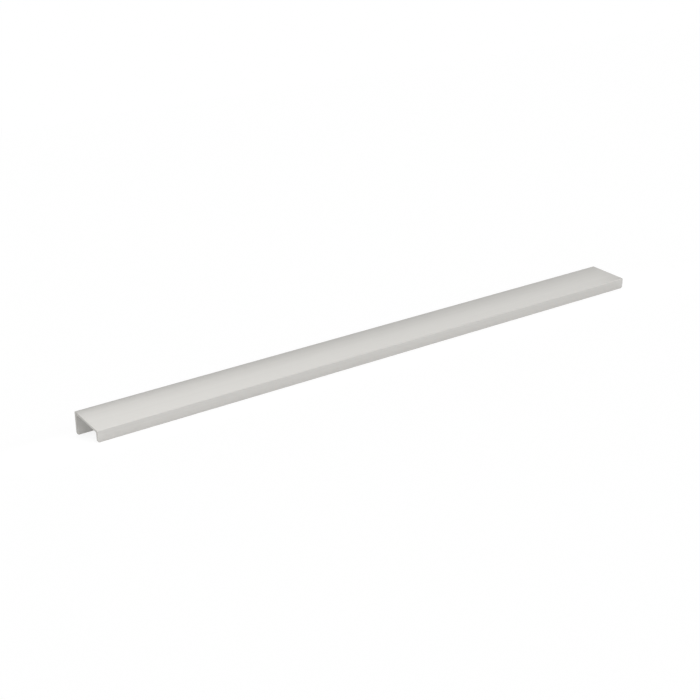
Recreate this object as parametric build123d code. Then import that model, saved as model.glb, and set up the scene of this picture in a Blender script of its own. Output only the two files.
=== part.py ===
from build123d import *

import math
import os

# A lip pull: one cut length of extruded aluminium channel that sits on the top edge of a door or drawer
# front. The long back flange is screwed to the front's rear face, the plate covers the edge, and fingers
# pull on the short lip, which stands clear of the front's outer face.
# The solid lies as it rests on a floor, on the lower edges of its flange and lip, so its plate slopes down
# to the lip. +X runs along the extrusion, +Y is the flange's side and +Z is up. Lengths are in millimetres.

# Extruded section
DEPTH = 40.0  # outer face of the flange to outer face of the lip
FLANGE_HEIGHT = 20.0  # top of the plate to the flange's lower edge
LIP_HEIGHT = 9.8  # top of the plate to the lip's lower edge
WALL = 1.8  # plate, flange and lip alike
OUTER_RADIUS = 0.8  # long outer corners of the plate
INNER_RADIUS = 0.5  # long inner corners of the plate

# Sawn length and what is done to its edges
LENGTH = 544.0
CORNER_RADIUS = 2.0  # free lower corners of the flange and the lip, seen along the wall's own normal
EDGE_RADIUS = 0.3  # the rim: sawn ends, free corners and lower edges, on both faces of the wall

# Screw holes in the flange, countersunk from its outer face
HOLE_PITCH = 160.0
HOLE_END_MARGIN = 20.0  # least distance from an outermost hole's centre to the sawn end
SCREW_HOLE_DIAMETER = 4.0
SCREW_HEAD_DIAMETER = 6.4
COUNTERSINK_ANGLE = 90.0

# Places that follow from the sizes. In the section, Y is 0 at the flange's outer face and Z is 0 at the
# top of the plate.
hole_count = math.floor((LENGTH - 2 * HOLE_END_MARGIN) / HOLE_PITCH) + 1
hole_level = -(WALL + FLANGE_HEIGHT) / 2  # middle of the flange below the plate
drill_depth = 2 * WALL  # through the flange and no further, so the lip behind it stays whole
edge_radius = min(EDGE_RADIUS, 0.4 * WALL)  # two roundings share the wall and leave a flat between them
rest_tilt = math.degrees(math.atan2(FLANGE_HEIGHT - LIP_HEIGHT, DEPTH - WALL))


def extruded_channel():
    """The channel section, rounded at its bends and sharp at its tips, carried along the sawn length."""
    corners = [
        (0, 0, OUTER_RADIUS),
        (-DEPTH, 0, OUTER_RADIUS),
        (-DEPTH, -LIP_HEIGHT, 0),
        (WALL - DEPTH, -LIP_HEIGHT, 0),
        (WALL - DEPTH, -WALL, INNER_RADIUS),
        (-WALL, -WALL, INNER_RADIUS),
        (-WALL, -FLANGE_HEIGHT, 0),
        (0, -FLANGE_HEIGHT, 0),
    ]
    with BuildPart() as channel:
        with BuildSketch(Plane.YZ):
            with BuildLine():
                FilletPolyline(
                    [(y, z) for y, z, _ in corners],
                    radius=[radius for _, _, radius in corners],
                    close=True,
                )
            make_face()
        extrude(amount=LENGTH / 2, both=True)
    return channel.part


def edges_across_wall(channel):
    """The short straight edges that cross the wall, at or beside the free corners."""
    return channel.edges().filter_by(Axis.Y).filter_by(lambda edge: edge.length < 2 * WALL)


def with_rounded_rim(channel):
    """Rounds the four free corners of the flange and the lip, then the rim on both faces of the wall."""
    channel = fillet(edges_across_wall(channel), radius=CORNER_RADIUS)
    bend_depth = WALL + 2 * INNER_RADIUS  # a level below every line of the bends and above both tips
    bend_lines = channel.edges().filter_by(Axis.X).filter_by_position(Axis.Z, -bend_depth, bend_depth)
    rim = channel.edges() - bend_lines - edges_across_wall(channel)
    return fillet(rim, radius=edge_radius)


def screw_holes():
    """A row of countersunk drillings that start on the flange's outer face and pass through its wall."""
    flange_face = Plane(origin=(0, 0, hole_level), x_dir=(1, 0, 0), z_dir=(0, 1, 0))
    drilling = CounterSinkHole(
        radius=SCREW_HOLE_DIAMETER / 2,
        counter_sink_radius=SCREW_HEAD_DIAMETER / 2,
        depth=drill_depth,
        counter_sink_angle=COUNTERSINK_ANGLE,
    )
    first = -(hole_count - 1) * HOLE_PITCH / 2
    return [flange_face * Pos(first + i * HOLE_PITCH, 0, 0) * drilling for i in range(hole_count)]


def laid_on_floor(part):
    """Tips the part forward until flange and lip both touch the floor, with the origin under its middle."""
    tipped = part.rotate(Axis.X, rest_tilt)
    box = tipped.bounding_box()
    return Pos(-box.center().X, -box.center().Y, -box.min.Z) * tipped


lip_pull = laid_on_floor(with_rounded_rim(extruded_channel()) - screw_holes())

os.makedirs("parts", exist_ok=True)
export_step(lip_pull, "parts/lip_pull.step")
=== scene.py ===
# %% [markdown]
# # A lip pull in satin anodised aluminium
#
# A lip pull is one length of extruded aluminium channel. It hooks over the top edge of a drawer or door
# front: screws through the long back flange hold it, and fingers pull on the short front lip. This lesson
# rebuilds its surface with numpy, gives it the finish of etched and anodised metal, and lights it softly on
# a white floor. The imported solid comes first, because its sawn length sets the length of everything else.

# %% Load the imported part
import math

import bpy
import numpy as np
from mathutils import Matrix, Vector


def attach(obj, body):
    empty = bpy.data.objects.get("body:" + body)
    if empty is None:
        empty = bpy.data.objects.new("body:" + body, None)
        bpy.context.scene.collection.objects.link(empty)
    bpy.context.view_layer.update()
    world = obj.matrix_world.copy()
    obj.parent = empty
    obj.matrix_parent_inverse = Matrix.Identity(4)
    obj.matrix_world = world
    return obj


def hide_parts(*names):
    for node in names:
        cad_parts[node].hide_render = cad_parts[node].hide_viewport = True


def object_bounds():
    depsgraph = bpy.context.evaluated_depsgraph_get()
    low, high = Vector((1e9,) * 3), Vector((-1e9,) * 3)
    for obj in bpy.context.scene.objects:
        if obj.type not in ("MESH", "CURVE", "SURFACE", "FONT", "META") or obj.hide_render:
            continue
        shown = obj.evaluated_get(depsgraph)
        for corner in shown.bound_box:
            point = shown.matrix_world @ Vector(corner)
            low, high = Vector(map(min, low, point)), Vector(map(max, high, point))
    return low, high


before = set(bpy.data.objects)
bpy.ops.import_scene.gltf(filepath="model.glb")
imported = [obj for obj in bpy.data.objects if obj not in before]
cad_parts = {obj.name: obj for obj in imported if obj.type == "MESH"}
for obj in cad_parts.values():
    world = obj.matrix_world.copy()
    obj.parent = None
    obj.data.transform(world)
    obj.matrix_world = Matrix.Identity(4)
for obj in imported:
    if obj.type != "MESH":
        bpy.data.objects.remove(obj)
cad_low, cad_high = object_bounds()
print("packed box, m:", [round(v, 5) for v in cad_low], [round(v, 5) for v in cad_high])

# %% [markdown]
# ## The section and how it lies
#
# An extrusion is known by its section, so the sizes of the section are the sizes that count, and only the
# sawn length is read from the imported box. The section is drawn level: Y is 0 at the flange's outer face and
# Z is 0 at the top of the plate. Left on a floor the channel doesn't stay level. It tips forward until the
# flange's inner lower edge and the lip's outer lower edge both touch, and the slope between those two edges
# is the angle that everything is tipped by.

# %% Sizes in millimetres
MM = 0.001
DEPTH = 40.0
FLANGE_HEIGHT = 20.0
LIP_HEIGHT = 9.8
WALL = 1.8
OUTER_RADIUS = 0.8
INNER_RADIUS = 0.5
CORNER_RADIUS = 2.0
EDGE_RADIUS = 0.3
HOLE_PITCH = 160.0
HOLE_COUNT = 4
HOLE_RADIUS = 2.0
HEAD_RADIUS = 3.2
COUNTERSINK_ANGLE = 90.0

length = (cad_high.x - cad_low.x) / MM
hole_level = -(WALL + FLANGE_HEIGHT) / 2
hole_places = (np.arange(HOLE_COUNT) - (HOLE_COUNT - 1) / 2) * HOLE_PITCH
rest_tilt = math.atan2(FLANGE_HEIGHT - LIP_HEIGHT, DEPTH - WALL)
tip_forward = np.array([
    [1.0, 0.0, 0.0],
    [0.0, math.cos(rest_tilt), -math.sin(rest_tilt)],
    [0.0, math.sin(rest_tilt), math.cos(rest_tilt)],
])
print(f"sawn length {length:.1f} mm, tipped forward by {math.degrees(rest_tilt):.2f} degrees")

# %% [markdown]
# ## One wall with two faces
#
# The wall is equally thick everywhere, so the channel can be seen as a bent sheet. It has an outer face, an
# inner face, and a rim that joins them all round. Each face follows a path in the section: up the flange,
# round the back bend, over the plate, round the front bend and down the lip. Both paths have the same
# number of points in the same order, which makes it easy to join them later. The exact normals come from
# the same formulas, and they are kept, because long flat faces beside tiny roundings only shade cleanly
# with them.

# %% Paths of the two faces
ARC_STEPS = 8
CELL_STEPS = 12  # steps along each side of the square that surrounds a screw hole
CELL_HALF = 7.0  # half the width of that square

quarter_turn = np.linspace(0.0, math.pi / 2, ARC_STEPS + 1)
corner_rise = CORNER_RADIUS - (CORNER_RADIUS - EDGE_RADIUS) * np.cos(quarter_turn)
cell_offsets = CELL_HALF * np.tan(np.linspace(-math.pi / 4, math.pi / 4, CELL_STEPS + 1))


def bend(corner, radius, first, second):
    """Points and normals of a bend. The normal turns from first to second by their cosine and sine shares.

    Each point lies one radius along its normal from the centre, and the centre is the sharp corner less the
    radius along both end normals. On the inner face the radius is negative, which hollows the bend.
    """
    normals = np.outer(np.cos(quarter_turn), first) + np.outer(np.sin(quarter_turn), second)
    return corner - radius * (first + second) + radius * normals, normals


def face_path(inset, radius, side):
    """Points and normals of one face, from the flange's lower edge over the plate to the lip's lower edge.

    The face lies inset under the outer one. side is 1 for the outer face and -1 for the inner. The rows at
    both ends follow the round of the free corners, and those on the flange line up with the screw holes.
    """
    back, over, front = side * np.array([(1.0, 0.0), (0.0, 1.0), (-1.0, 0.0)])
    flange_levels = np.concatenate([corner_rise - FLANGE_HEIGHT, hole_level + cell_offsets])
    lip_levels = corner_rise[::-1] - LIP_HEIGHT
    flange = np.stack([np.full(len(flange_levels), -inset), flange_levels], axis=1)
    lip = np.stack([np.full(len(lip_levels), inset - DEPTH), lip_levels], axis=1)
    back_bend, back_normals = bend(np.array([-inset, -inset]), side * radius, back, over)
    front_bend, front_normals = bend(np.array([inset - DEPTH, -inset]), side * radius, over, front)
    points = np.concatenate([flange, back_bend, front_bend, lip])
    normals = np.concatenate([
        np.tile(back, (len(flange), 1)),
        back_normals,
        front_normals,
        np.tile(front, (len(lip), 1)),
    ])
    return points, normals


outer_path, outer_normals = face_path(0.0, OUTER_RADIUS, 1)
inner_path, inner_normals = face_path(WALL, INNER_RADIUS, -1)
row_count = len(outer_path)
first_cell_row = len(corner_rise)
print(f"each face follows {row_count} points, {np.ptp(outer_path[:, 0]):.1f} mm deep")

# %% [markdown]
# ## Carried along the length
#
# An extrusion is a profile carried along a straight path, so each face is a grid: stations along X one way,
# rows of the path the other. A Boolean could drill the holes, but it leaves long thin faces that shade
# badly. Here the stations are set so that a square block of the grid lies round each hole, and the block is
# left out. Grid lines in a block are spaced by the tangent of equal angles, which spaces the points of the
# hole's rim evenly. Only the two end stations differ from row to row: near the lower edges they draw back
# along a quarter circle, and that rounds the free corners of flange and lip.

# %% Grids of the two faces
inner_stations = (hole_places[:, None] + cell_offsets[None, :]).ravel()
station_count = len(inner_stations) + 2
face_count = station_count * row_count
square_rows = np.full(row_count - 2 * len(quarter_turn), math.pi / 2)
rim_turn = np.concatenate([quarter_turn, square_rows, quarter_turn[::-1]])
reach = length / 2 - CORNER_RADIUS + (CORNER_RADIUS - EDGE_RADIUS) * np.sin(rim_turn)


def face_points(path):
    """The face's grid as points of shape (stations, rows, 3). Each row ends at its own reach along X."""
    between = np.repeat(inner_stations[:, None], row_count, axis=1)
    x = np.concatenate([-reach[None, :], between, reach[None, :]])
    return np.concatenate([x[:, :, None], np.repeat(path[None], station_count, axis=0)], axis=2)


def face_quads(first_vertex, path_normals):
    """Quads of one grid as vertex numbers, with their corner normals. Blocks round the holes are left out.

    The point at station i and row j has the number i times the row count plus j, after the first vertex.
    """
    i, j = np.meshgrid(np.arange(station_count - 1), np.arange(row_count - 1), indexing="ij")
    in_block = (i > 0) & (i < station_count - 2) & ((i - 1) % (CELL_STEPS + 1) < CELL_STEPS)
    kept = ~(in_block & (j >= first_cell_row) & (j < first_cell_row + CELL_STEPS))
    i, j = i[kept], j[kept]
    stations = np.stack([i, i, i + 1, i + 1], axis=1)
    rows = np.stack([j, j + 1, j + 1, j], axis=1)
    normals = np.zeros((*rows.shape, 3))
    normals[..., 1:] = path_normals[rows]
    return first_vertex + stations * row_count + rows, normals


outer_points = face_points(outer_path)
inner_points = face_points(inner_path)
outer_quads, outer_corners = face_quads(0, outer_normals)
inner_quads, inner_corners = face_quads(face_count, inner_normals)
print(f"two faces of {station_count} stations and {len(outer_quads)} quads each")

# %% [markdown]
# ## Countersunk screw holes
#
# Each hole is drilled from the flange's outer face and opened there to a cone for the screw's head. Rim,
# throat and inner mouth are three circles of the same number of points. Bands of faces join them, and join
# the first and the last to the square blocks that were left out of the two grids.

# %% Holes through the flange
RIM_COUNT = 4 * CELL_STEPS
half_cone = math.radians(COUNTERSINK_ANGLE / 2)
cone_depth = (HEAD_RADIUS - HOLE_RADIUS) / math.tan(half_cone)

step_up = np.arange(CELL_STEPS)
stay_low = np.zeros(CELL_STEPS, int)
stay_high = np.full(CELL_STEPS, CELL_STEPS)
block_x = np.concatenate([step_up, stay_high, CELL_STEPS - step_up, stay_low])
block_z = np.concatenate([stay_low, step_up, stay_high, CELL_STEPS - step_up])
spoke_angle = np.arctan2(cell_offsets[block_z], cell_offsets[block_x])
spoke_x = np.cos(spoke_angle)
spoke_z = np.sin(spoke_angle)


def circle(x, y, radius):
    """A circle in a plane of constant Y: its centre plus the radius along each spoke."""
    return np.stack([x + radius * spoke_x, np.full(RIM_COUNT, y), hole_level + radius * spoke_z], axis=1)


def band(first, second, first_normals, second_normals):
    """Quads between two rings of vertex numbers, one for each step round, with their corner normals."""
    quads = np.stack([first, np.roll(first, -1), np.roll(second, -1), second], axis=1)
    normals = np.stack([
        first_normals,
        np.roll(first_normals, -1, axis=0),
        np.roll(second_normals, -1, axis=0),
        second_normals,
    ], axis=1)
    return quads, normals


def screw_hole(number, first_vertex):
    """Points, quads and normals of one hole, as four bands between rings.

    They lead from the outer face to the rim, down the cone to the throat, along the cylinder to the mouth,
    and from the mouth to the inner face.
    """
    x = hole_places[number]
    first_station = 1 + number * (CELL_STEPS + 1)
    outer_edge = (first_station + block_x) * row_count + first_cell_row + block_z
    inner_edge = face_count + outer_edge
    points = np.concatenate([
        circle(x, 0.0, HEAD_RADIUS),
        circle(x, -cone_depth, HOLE_RADIUS),
        circle(x, -WALL, HOLE_RADIUS),
    ])
    rim, throat, mouth = first_vertex + np.arange(3 * RIM_COUNT).reshape(3, RIM_COUNT)
    to_axis = np.stack([-spoke_x, np.zeros(RIM_COUNT), -spoke_z], axis=1)
    outward = np.tile([0.0, 1.0, 0.0], (RIM_COUNT, 1))
    cone = to_axis * math.cos(half_cone) + outward * math.sin(half_cone)
    bands = [
        band(outer_edge, rim, outward, outward),
        band(rim, throat, cone, cone),
        band(throat, mouth, to_axis, to_axis),
        band(mouth, inner_edge, -outward, -outward),
    ]
    return points, np.concatenate([b[0] for b in bands]), np.concatenate([b[1] for b in bands])


holes = [screw_hole(k, 2 * face_count + 3 * RIM_COUNT * k) for k in range(HOLE_COUNT)]
hole_points = np.concatenate([h[0] for h in holes])
hole_quads = np.concatenate([h[1] for h in holes])
hole_corners = np.concatenate([h[2] for h in holes])
hole_machined = np.tile(np.repeat([0, 1, 1, 0], RIM_COUNT), HOLE_COUNT)
print(f"{HOLE_COUNT} holes, countersunk {cone_depth:.2f} mm deep, {len(hole_quads)} quads")

# %% [markdown]
# ## The rim
#
# After sawing, the free corners are rounded and every edge is broken by tumbling, so no edge is sharp. A
# Bevel modifier could round them, but here the normals are known, and a formula keeps them exact. The rim
# starts from the border of a face and rolls over it by a quarter circle. At each border point two
# directions are enough: the face's normal, and the way out in the face's own plane. That way out points
# down along the lower edges, along X at the ends, and turns between the two at the free corners. A narrow
# flat then joins the rolls of both faces.

# %% Roll the rim
RIM_STEPS = 4

up_to_last = np.arange(station_count - 1)
up_to_top = np.arange(row_count - 1)
border_station = np.concatenate([
    up_to_last,
    np.full(row_count - 1, station_count - 1),
    up_to_last[::-1] + 1,
    np.zeros(row_count - 1, int),
])
border_row = np.concatenate([
    np.zeros(station_count - 1, int),
    up_to_top,
    np.full(station_count - 1, row_count - 1),
    up_to_top[::-1] + 1,
])
border_count = len(border_row)
end_sign = np.sign(border_station - (station_count - 1) / 2)
at_end = (border_station == 0) | (border_station == station_count - 1)
border_turn = np.where(at_end, rim_turn[border_row], 0.0)
way_out = np.stack([end_sign * np.sin(border_turn), np.zeros(border_count), -np.cos(border_turn)], axis=1)
rim_machined = (border_station == np.roll(border_station, -1)).astype(int)  # such a step is on a sawn end


def rolled_edge(points, path_normals):
    """Rings of points and normals that roll a face's border over by a quarter turn.

    At turn t a point moves the edge radius times sin t along the way out and the edge radius times
    1 - cos t against the face's normal. Its own normal is the mix of the two by sin t and cos t.
    """
    face_normals = np.zeros((border_count, 3))
    face_normals[:, 1:] = path_normals[border_row]
    turn = np.linspace(0.0, math.pi / 2, RIM_STEPS + 1)[:, None, None]
    start = points[border_station, border_row]
    rings = start + EDGE_RADIUS * (np.sin(turn) * way_out - (1 - np.cos(turn)) * face_normals)
    normals = np.sin(turn) * way_out + np.cos(turn) * face_normals
    return rings, normals


outer_rings, outer_ring_normals = rolled_edge(outer_points, outer_normals)
inner_rings, inner_ring_normals = rolled_edge(inner_points, inner_normals)
rim_points = np.concatenate([outer_rings[1:], inner_rings[:0:-1]]).reshape(-1, 3)
border_vertex = border_station * row_count + border_row
rim_start = 2 * face_count + len(hole_points)
ring_vertices = np.concatenate([
    border_vertex[None],
    rim_start + np.arange(2 * RIM_STEPS * border_count).reshape(2 * RIM_STEPS, border_count),
    face_count + border_vertex[None],
])
ring_normals = np.concatenate([outer_ring_normals, inner_ring_normals[::-1]])
rim_bands = [
    band(ring_vertices[k], ring_vertices[k + 1], ring_normals[k], ring_normals[k + 1])
    for k in range(2 * RIM_STEPS + 1)
]
rim_quads = np.concatenate([b[0] for b in rim_bands])
rim_corners = np.concatenate([b[1] for b in rim_bands])
print(f"rim of {len(rim_bands)} bands, {border_count} quads each")

# %% [markdown]
# ## One closed mesh
#
# Faces, holes and rim share their vertices, so the mesh is closed without any merging. What is left is to
# make every quad face outwards. Blender can recalculate normals, but here each corner already has its own,
# so a quad is compared with them and turned round where it faces the other way.

# %% Turn every face outwards
def facing_out(points, quads, normals):
    """Quads and normals with every face wound so that its own normal agrees with its corners' normals.

    A quad's own normal is the cross product of its two diagonals.
    """
    a, b, c, d = (points[quads[:, k]] for k in range(4))
    face = np.cross(c - a, d - b)
    wrong = np.einsum("ij,ij->i", face, normals.sum(axis=1)) < 0
    quads = np.where(wrong[:, None], quads[:, ::-1], quads)
    normals = np.where(wrong[:, None, None], normals[:, ::-1], normals)
    return quads, normals


all_points = np.concatenate([
    outer_points.reshape(-1, 3),
    inner_points.reshape(-1, 3),
    hole_points,
    rim_points,
])
all_quads, all_corners = facing_out(
    all_points,
    np.concatenate([outer_quads, inner_quads, hole_quads, rim_quads]),
    np.concatenate([outer_corners, inner_corners, hole_corners, rim_corners]),
)
machined = np.concatenate([
    np.zeros(len(outer_quads) + len(inner_quads), int),
    hole_machined,
    np.tile(rim_machined, len(rim_bands)),
])
print(f"{len(all_points)} points, {len(all_quads)} quads, {machined.sum()} of them machined")

# %% [markdown]
# ## Laid on the floor
#
# The level channel is tipped forward onto the floor and centred over the origin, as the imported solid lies.
# The place goes into the mesh itself, so the object stays at the origin and unturned. Lamp and camera were
# set out round the level section as well, so a second function takes them along by the same step.

# %% Build the piece
tipped = all_points @ tip_forward.T
onto_floor = -np.array([
    0.0,
    (tipped[:, 1].min() + tipped[:, 1].max()) / 2,
    tipped[:, 2].min(),
])


def on_floor(level_points):
    """Points of the level section's frame, in millimetres, where they lie on the floor, in metres."""
    return (level_points @ tip_forward.T + onto_floor) * MM


def placed_level(place, right, up):
    """World matrix of a thing placed in the level frame, from its place and the ways its X and Y point."""
    matrix = np.eye(4)
    matrix[:3, :3] = tip_forward @ np.stack([right, up, np.cross(right, up)], axis=1)
    matrix[:3, 3] = on_floor(place)
    return Matrix(matrix)


mesh = bpy.data.meshes.new("lip_pull_extrusion")
mesh.from_pydata(on_floor(all_points), [], all_quads)
mesh.polygons.foreach_set("material_index", machined)
mesh.shade_smooth()
mesh.normals_split_custom_set(all_corners.reshape(-1, 3) @ tip_forward.T)
extrusion = bpy.data.objects.new("lip_pull_extrusion", mesh)
bpy.context.scene.collection.objects.link(extrusion)
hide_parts("lip_pull")
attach(extrusion, "root")
edge_of_loop = np.empty(len(mesh.loops), np.int32)
mesh.loops.foreach_get("edge_index", edge_of_loop)
closed = bool((np.bincount(edge_of_loop) == 2).all())
print(f"piece: {len(mesh.vertices)} vertices, {len(mesh.polygons)} faces, closed: {closed}")

# %% [markdown]
# ## Colours and nodes
#
# Shaders work with linear light, while a colour is usually written as an sRGB hex value, so one function
# turns hex values into linear light. A second function adds a node with its settings and links in one call.
# A material then reads as a list of what feeds what.

# %% Helpers for colours and nodes
def linear(hex_colour):
    """An sRGB hex value as linear RGBA, by the two-part sRGB curve."""
    srgb = np.array([int(hex_colour[k:k + 2], 16) / 255 for k in (1, 3, 5)])
    rgb = np.where(srgb <= 0.04045, srgb / 12.92, ((srgb + 0.055) / 1.055) ** 2.4)
    return (*rgb, 1.0)


def add_node(tree, kind, inputs=None, **settings):
    """Adds a node, sets its properties, and sets or links each input named in inputs."""
    node = tree.nodes.new(kind)
    for name, value in settings.items():
        setattr(node, name, value)
    for name, value in (inputs or {}).items():
        if isinstance(value, bpy.types.NodeSocket):
            tree.links.new(value, node.inputs[name])
        else:
            node.inputs[name].default_value = value
    return node


def new_material(name):
    """An empty node material and its node tree, ready for a shader."""
    material = bpy.data.materials.new(name)
    material.use_nodes = True
    material.node_tree.nodes.clear()
    return material, material.node_tree


print("a mid grey in linear light:", round(linear("#808080")[0], 3))

# %% [markdown]
# ## Satin anodised aluminium
#
# Bare aluminium mirrors its surroundings. Here it was etched before anodising, which leaves millions of
# tiny pits, so the reflection is blurred to an even, pale, slightly warm grey. The extrusion die also draws
# fine lines along the length, and they show as faint streaks of tone and gloss. An image could give them,
# but a noise texture stretched along X gives them on every side at once, with no seams at the bends.

# %% The finish of the faces
ALUMINIUM_TONE = "#CDCCC8"
ALUMINIUM_STREAK = "#C9C7C4"
SATIN_ROUGHNESS = (0.40, 0.48)
LINE_WIDTH = 1.4  # real die lines are a few tenths of a millimetre apart, drawn coarser so that they show
LINE_LENGTH = 400.0
LINE_HEIGHT = 0.004
LINE_RELIEF = 0.25
GRAIN_WIDTH = 0.5  # etch pits are far finer, drawn coarser for the same reason
GRAIN_RELIEF = 0.15


def satin_anodised_aluminium():
    """Etched and anodised metal, with die lines along the extrusion in tone, gloss and relief."""
    material, tree = new_material("satin_anodised_aluminium")
    place = add_node(tree, "ShaderNodeTexCoord")
    drawn = add_node(tree, "ShaderNodeMapping", {
        "Vector": place.outputs["Object"],
        "Scale": (1 / (LINE_LENGTH * MM), 1 / (LINE_WIDTH * MM), 1 / (LINE_WIDTH * MM)),
    })
    lines = add_node(tree, "ShaderNodeTexNoise", {
        "Vector": drawn.outputs["Vector"], "Scale": 1.0, "Detail": 3.0, "Roughness": 0.6,
    })
    grain = add_node(tree, "ShaderNodeTexNoise", {
        "Vector": place.outputs["Object"], "Scale": 1 / (GRAIN_WIDTH * MM), "Detail": 1.0,
    })
    tone = add_node(tree, "ShaderNodeMix", {
        "Factor": lines.outputs["Fac"], "A": linear(ALUMINIUM_TONE), "B": linear(ALUMINIUM_STREAK),
    }, data_type="RGBA")
    gloss = add_node(tree, "ShaderNodeMapRange", {
        "Value": lines.outputs["Fac"], "To Min": SATIN_ROUGHNESS[0], "To Max": SATIN_ROUGHNESS[1],
    })
    relief = add_node(tree, "ShaderNodeBump", {
        "Strength": LINE_RELIEF, "Distance": LINE_HEIGHT * MM, "Height": lines.outputs["Fac"],
    })
    pits = add_node(tree, "ShaderNodeBump", {
        "Strength": GRAIN_RELIEF, "Distance": LINE_HEIGHT * MM, "Height": grain.outputs["Fac"],
        "Normal": relief.outputs["Normal"],
    })
    metal = add_node(tree, "ShaderNodeBsdfPrincipled", {
        "Base Color": tone.outputs["Result"],
        "Metallic": 1.0,
        "Roughness": gloss.outputs["Result"],
        "Normal": pits.outputs["Normal"],
    })
    add_node(tree, "ShaderNodeOutputMaterial", {"Surface": metal.outputs["BSDF"]})
    return material


mesh.materials.append(satin_anodised_aluminium())
print("finish of the faces:", mesh.materials[0].name)

# %% [markdown]
# ## Machined ends and holes
#
# Saw and drill cut through the drawn skin before the metal was etched and anodised. A cut face keeps the
# marks of its tool under the same film, so it is a little darker and duller than the faces. The marks run
# across the wall, and a noise texture stretched along Y gives them. A second material slot is enough,
# because each quad knows whether it was cut.

# %% The finish of cut faces
CUT_TONE = "#BFBDB9"
CUT_SHADE = "#B2B0AC"
CUT_ROUGHNESS = (0.42, 0.55)
MARK_WIDTH = 0.25
MARK_LENGTH = 5.0
MARK_HEIGHT = 0.01
MARK_RELIEF = 0.4


def machined_aluminium():
    """Sawn or drilled metal, anodised with the rest: fine tool marks in tone, gloss and relief."""
    material, tree = new_material("machined_anodised_aluminium")
    place = add_node(tree, "ShaderNodeTexCoord")
    cut = add_node(tree, "ShaderNodeMapping", {
        "Vector": place.outputs["Object"],
        "Scale": (1 / (MARK_WIDTH * MM), 1 / (MARK_LENGTH * MM), 1 / (MARK_WIDTH * MM)),
    })
    marks = add_node(tree, "ShaderNodeTexNoise", {
        "Vector": cut.outputs["Vector"], "Scale": 1.0, "Detail": 2.0, "Roughness": 0.5,
    })
    tone = add_node(tree, "ShaderNodeMix", {
        "Factor": marks.outputs["Fac"], "A": linear(CUT_TONE), "B": linear(CUT_SHADE),
    }, data_type="RGBA")
    gloss = add_node(tree, "ShaderNodeMapRange", {
        "Value": marks.outputs["Fac"], "To Min": CUT_ROUGHNESS[0], "To Max": CUT_ROUGHNESS[1],
    })
    relief = add_node(tree, "ShaderNodeBump", {
        "Strength": MARK_RELIEF, "Distance": MARK_HEIGHT * MM, "Height": marks.outputs["Fac"],
    })
    metal = add_node(tree, "ShaderNodeBsdfPrincipled", {
        "Base Color": tone.outputs["Result"],
        "Metallic": 1.0,
        "Roughness": gloss.outputs["Result"],
        "Normal": relief.outputs["Normal"],
    })
    add_node(tree, "ShaderNodeOutputMaterial", {"Surface": metal.outputs["BSDF"]})
    return material


mesh.materials.append(machined_aluminium())
print("finish of ends and holes:", mesh.materials[1].name)

# %% [markdown]
# ## White floor
#
# The floor is pale and plain and keeps a faint shadow. For the camera, and for what the metal mirrors, part
# of its white is its own glow, so that floor and surroundings meet without a line. More lamps would also
# whiten it, but they would burn out the metal. The metal sees less of that glow than the camera does, so
# that it stays dark inside the channel, where little light reaches.

# %% Floor
FLOOR_REACH = 30.0  # metres, so that its edge lies near the horizon
FLOOR_PALE = "#EBEBEC"
SEEN_SHADE = "#7A7A7A"
SEEN_GLOW = 0.835
MIRRORED_GLOW = 0.26


def white_floor():
    """A matt floor. Most of the white that is looked at is its own glow, and metal mirrors some of it."""
    material, tree = new_material("matt_white_floor")
    path = add_node(tree, "ShaderNodeLightPath")
    looked_at = add_node(tree, "ShaderNodeMath", {
        0: path.outputs["Is Camera Ray"], 1: path.outputs["Is Transmission Ray"],
    }, operation="MAXIMUM")
    tone = add_node(tree, "ShaderNodeMix", {
        "Factor": looked_at.outputs[0], "A": linear(FLOOR_PALE), "B": linear(SEEN_SHADE),
    }, data_type="RGBA")
    mirrored = add_node(tree, "ShaderNodeMath", {
        0: path.outputs["Is Glossy Ray"], 1: MIRRORED_GLOW,
    }, operation="MULTIPLY")
    glow = add_node(tree, "ShaderNodeMath", {
        0: looked_at.outputs[0], 1: SEEN_GLOW, 2: mirrored.outputs[0],
    }, operation="MULTIPLY_ADD")
    matt = add_node(tree, "ShaderNodeBsdfPrincipled", {
        "Base Color": tone.outputs["Result"],
        "Roughness": 1.0,
        "Specular IOR Level": 0.0,
        "Emission Color": linear("#FFFFFF"),
        "Emission Strength": glow.outputs[0],
    })
    add_node(tree, "ShaderNodeOutputMaterial", {"Surface": matt.outputs["BSDF"]})
    return material


def stage_sheet(name, half_x, half_y, height, material):
    """A flat rectangle of the set. Its corners lie half_x and half_y out from the middle, at one height."""
    corners = np.array([(-1, -1, 1), (1, -1, 1), (1, 1, 1), (-1, 1, 1)])
    sheet_mesh = bpy.data.meshes.new(name)
    sheet_mesh.from_pydata(corners * np.array([half_x, half_y, height]), [], [[0, 1, 2, 3]])
    sheet_mesh.materials.append(material)
    sheet = bpy.data.objects.new(name, sheet_mesh)
    bpy.context.scene.collection.objects.link(sheet)
    return sheet


print("set:", stage_sheet("floor", FLOOR_REACH, FLOOR_REACH, 0.0, white_floor()).name)

# %% [markdown]
# ## A pale room
#
# Metal shows what stands around it, so the surroundings are half of its look. The room is bright in front
# and dimmer behind and above, as in a studio. Walls could be built for that, but a world shader can draw
# them from the direction of each ray: Y tells front from back, and Z tells how high the ray looks. Near the
# horizon the room is plain white, so that it meets the floor.

# %% World
ROOM_LOW = 1.0
ROOM_FRONT = 1.45
ROOM_BACK = 0.60
ROOM_TOP = 0.50
FRONT_TO_BACK = (-0.3, 0.5)  # range of a ray's Y over which the walls fade
HORIZON_TO_WALLS = (0.15, 0.40)  # ranges of a ray's Z
WALLS_TO_TOP = (0.60, 0.95)

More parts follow.
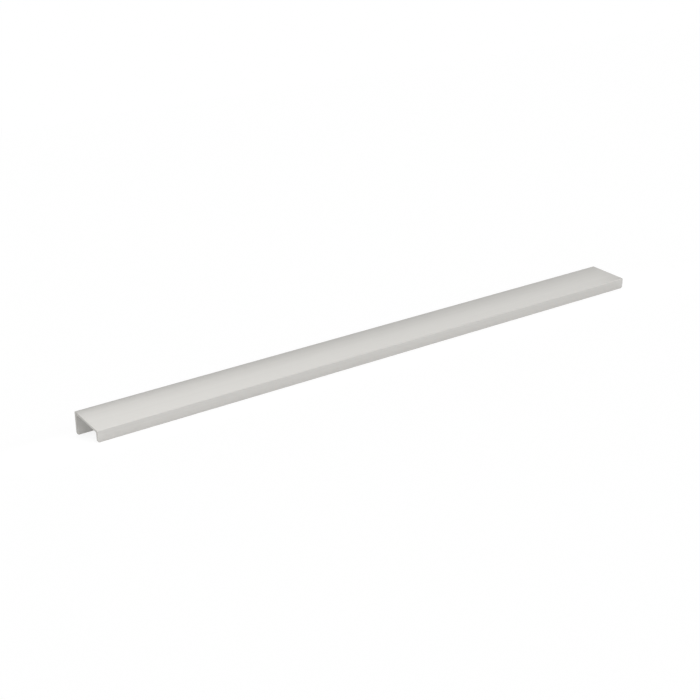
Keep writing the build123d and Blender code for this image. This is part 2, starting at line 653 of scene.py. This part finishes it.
world = bpy.data.worlds.new("white_room")
world.use_nodes = True
world.node_tree.nodes.clear()
tree = world.node_tree
ray = add_node(tree, "ShaderNodeTexCoord")
heading = add_node(tree, "ShaderNodeSeparateXYZ", {"Vector": ray.outputs["Generated"]})
walls = add_node(tree, "ShaderNodeMapRange", {
    "Value": heading.outputs["Y"],
    "From Min": FRONT_TO_BACK[0], "From Max": FRONT_TO_BACK[1],
    "To Min": ROOM_FRONT, "To Max": ROOM_BACK,
}, interpolation_type="SMOOTHSTEP")
rise = add_node(tree, "ShaderNodeMapRange", {
    "Value": heading.outputs["Z"], "From Min": HORIZON_TO_WALLS[0], "From Max": HORIZON_TO_WALLS[1],
}, interpolation_type="SMOOTHSTEP")
lower = add_node(tree, "ShaderNodeMix", {
    "Factor": rise.outputs["Result"], "A": ROOM_LOW, "B": walls.outputs["Result"],
}, data_type="FLOAT")
overhead = add_node(tree, "ShaderNodeMapRange", {
    "Value": heading.outputs["Z"], "From Min": WALLS_TO_TOP[0], "From Max": WALLS_TO_TOP[1],
}, interpolation_type="SMOOTHSTEP")
level = add_node(tree, "ShaderNodeMix", {
    "Factor": overhead.outputs["Result"], "A": lower.outputs["Result"], "B": ROOM_TOP,
}, data_type="FLOAT")
room = add_node(tree, "ShaderNodeBackground", {
    "Color": linear("#FFFFFF"), "Strength": level.outputs["Result"],
})
add_node(tree, "ShaderNodeOutputWorld", {"Surface": room.outputs["Background"]})
bpy.context.scene.world = world
print("world:", world.name)

# %% [markdown]
# ## A long soft box
#
# On a flat satin plate, tone only changes where the light is close: a distant lamp gives every point the
# same angle. A long soft box hangs just over the plate, so the front of the plate mirrors it and the back
# edge looks past it into the dimmer room. It rises towards the far end, where its light then fades, and
# swings back a little as it rises, so that the dark edge keeps its width. A lamp by itself lets the room
# shine through it. A black housing behind it stops that, and the plate stays below white from every side.

# %% Soft box
BOX_PLACE = np.array([-6.0, -8.0, 19.5])  # its middle, in the level frame of the section
BOX_RISE = math.radians(2.2)
BOX_SWING = math.radians(1.8)
BOX_LENGTH = 640.0
BOX_WIDTH = 51.0
BOX_LEVEL = 1.245
HOUSING_GAP = 1.0  # behind the lamp
HOUSING_BLACK = "#202020"


def black_fabric():
    """Matt black cloth, which sends hardly any light back."""
    material, tree = new_material("black_fabric")
    cloth = add_node(tree, "ShaderNodeBsdfPrincipled", {
        "Base Color": linear(HOUSING_BLACK), "Roughness": 1.0, "Specular IOR Level": 0.0,
    })
    add_node(tree, "ShaderNodeOutputMaterial", {"Surface": cloth.outputs["BSDF"]})
    return material


def soft_box():
    """A long lamp over the plate and its housing. Its power is pi times its brightness times its area."""
    lamp = bpy.data.lights.new("soft_box", "AREA")
    lamp.shape = "RECTANGLE"
    lamp.size = BOX_LENGTH * MM
    lamp.size_y = BOX_WIDTH * MM
    lamp.energy = math.pi * BOX_LEVEL * lamp.size * lamp.size_y
    along = np.array([
        math.cos(BOX_RISE) * math.cos(BOX_SWING),
        math.cos(BOX_RISE) * math.sin(BOX_SWING),
        math.sin(BOX_RISE),
    ])
    across = np.array([-math.sin(BOX_SWING), math.cos(BOX_SWING), 0.0])
    holder = bpy.data.objects.new("soft_box", lamp)
    holder.matrix_world = placed_level(BOX_PLACE, along, across)
    holder.visible_camera = False
    bpy.context.scene.collection.objects.link(holder)
    half_length = lamp.size / 2
    half_width = lamp.size_y / 2
    housing = stage_sheet("soft_box_housing", half_length, half_width, HOUSING_GAP * MM, black_fabric())
    housing.matrix_world = holder.matrix_world
    housing.visible_camera = False
    return holder


print("lamp:", soft_box().name)

# %% [markdown]
# ## The camera
#
# The view was matched to the straight edges of the part with its plate level, so the camera is placed in
# that level frame first and then tipped with the part. The floor is plain, so nothing shows the small roll
# that this gives the picture.

# %% Camera
LENS = 68.0
VIEW_PITCH = math.radians(24.36)
VIEW_YAW = math.radians(34.84)
CAMERA_PLACE = np.array([-612.1, -855.5, 456.9])  # from mid-length, the flange's face and the plate's top

look_right = np.array([math.cos(VIEW_YAW), -math.sin(VIEW_YAW), 0.0])
look_up = np.array([
    math.sin(VIEW_PITCH) * math.sin(VIEW_YAW),
    math.sin(VIEW_PITCH) * math.cos(VIEW_YAW),
    math.cos(VIEW_PITCH),
])

camera_data = bpy.data.cameras.new("camera")
camera_data.lens = LENS
camera = bpy.data.objects.new("camera", camera_data)
camera.matrix_world = placed_level(CAMERA_PLACE, look_right, look_up)
bpy.context.scene.collection.objects.link(camera)
bpy.context.scene.camera = camera
bpy.context.scene.view_settings.view_transform = "Standard"
print("camera at", [round(v, 3) for v in camera.matrix_world.translation])
